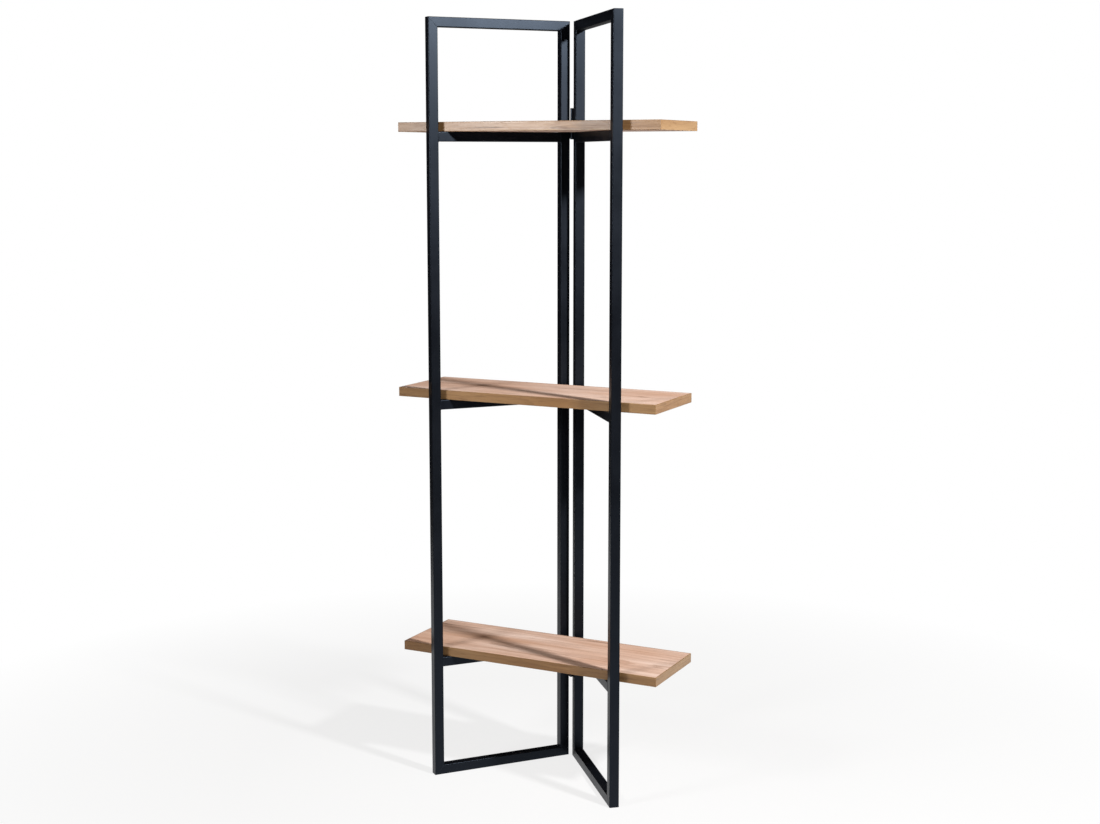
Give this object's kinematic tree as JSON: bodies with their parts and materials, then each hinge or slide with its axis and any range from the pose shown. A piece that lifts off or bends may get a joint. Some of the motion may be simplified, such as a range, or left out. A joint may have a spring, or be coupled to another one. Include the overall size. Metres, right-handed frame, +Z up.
{
  "type": "corner shelf unit",
  "caption": "Tall folding corner shelf: black square-tube frames hinged in a V, carrying loose oak-finish boards laid across the frames' rungs.",
  "frame": {"origin": "on the floor, at the middle of the unit's bounding box", "axes": "+Z up, +X along the boards to the right as seen from the front, -Y towards the front, where the V opens"},
  "size_m": [0.7318, 0.3112, 1.96],
  "materials": {
    "black_powder_coat": "satin black powder coat with a fine texture",
    "hinge_steel": "plain turned steel",
    "oak_decor": "light oak decor, matt",
    "oak_edge_band": "oak edge band, grain along the edge, matt"
  },
  "bodies": {
    "hinge_pins": {"lower_hinge_pin": "hinge_steel", "lower_hinge_ring": "hinge_steel", "upper_hinge_pin": "hinge_steel", "upper_hinge_ring": "hinge_steel"},
    "left_frame": {"left_bottom_bar": "black_powder_coat", "left_bottom_rung": "black_powder_coat", "left_inner_post": "black_powder_coat", "left_middle_rung": "black_powder_coat", "left_outer_post": "black_powder_coat", "left_top_bar": "black_powder_coat", "left_top_rung": "black_powder_coat", "lower_hinge_left_barrel": "black_powder_coat", "upper_hinge_left_barrel": "black_powder_coat"},
    "right_frame": {"lower_hinge_right_barrel": "black_powder_coat", "right_bottom_bar": "black_powder_coat", "right_bottom_rung": "black_powder_coat", "right_inner_post": "black_powder_coat", "right_middle_rung": "black_powder_coat", "right_outer_post": "black_powder_coat", "right_top_bar": "black_powder_coat", "right_top_rung": "black_powder_coat", "upper_hinge_right_barrel": "black_powder_coat"},
    "bottom_shelf": {"bottom_shelf_back_band": "oak_edge_band", "bottom_shelf_front_band": "oak_edge_band", "bottom_shelf_left_band": "oak_edge_band", "bottom_shelf_panel": "oak_decor", "bottom_shelf_right_band": "oak_edge_band"},
    "middle_shelf": {"middle_shelf_back_band": "oak_edge_band", "middle_shelf_front_band": "oak_edge_band", "middle_shelf_left_band": "oak_edge_band", "middle_shelf_panel": "oak_decor", "middle_shelf_right_band": "oak_edge_band"},
    "top_shelf": {"top_shelf_back_band": "oak_edge_band", "top_shelf_front_band": "oak_edge_band", "top_shelf_left_band": "oak_edge_band", "top_shelf_panel": "oak_decor", "top_shelf_right_band": "oak_edge_band"}
  },
  "joints": [
    {"name": "left_fold", "type": "hinge", "parent": "hinge_pins", "child": "left_frame", "pos_m": [0.006, 0.14339, 0], "axis": [0, 0, 1], "range_deg": [0, 38]},
    {"name": "right_fold", "type": "hinge", "parent": "hinge_pins", "child": "right_frame", "pos_m": [0.006, 0.14339, 0], "axis": [0, 0, -1], "range_deg": [0, 38]},
    {"name": "top_shelf_slide", "type": "slide", "parent": "hinge_pins", "child": "top_shelf", "axis": [1, 0, 0], "range_m": [-0.1, 0.1]},
    {"name": "middle_shelf_slide", "type": "slide", "parent": "hinge_pins", "child": "middle_shelf", "axis": [1, 0, 0], "range_m": [-0.1, 0.1]},
    {"name": "bottom_shelf_slide", "type": "slide", "parent": "hinge_pins", "child": "bottom_shelf", "axis": [1, 0, 0], "range_m": [-0.1, 0.1]}
  ],
  "couplings": [
    {"joint": "right_fold", "follows": "left_fold", "ratio": 1}
  ]
}
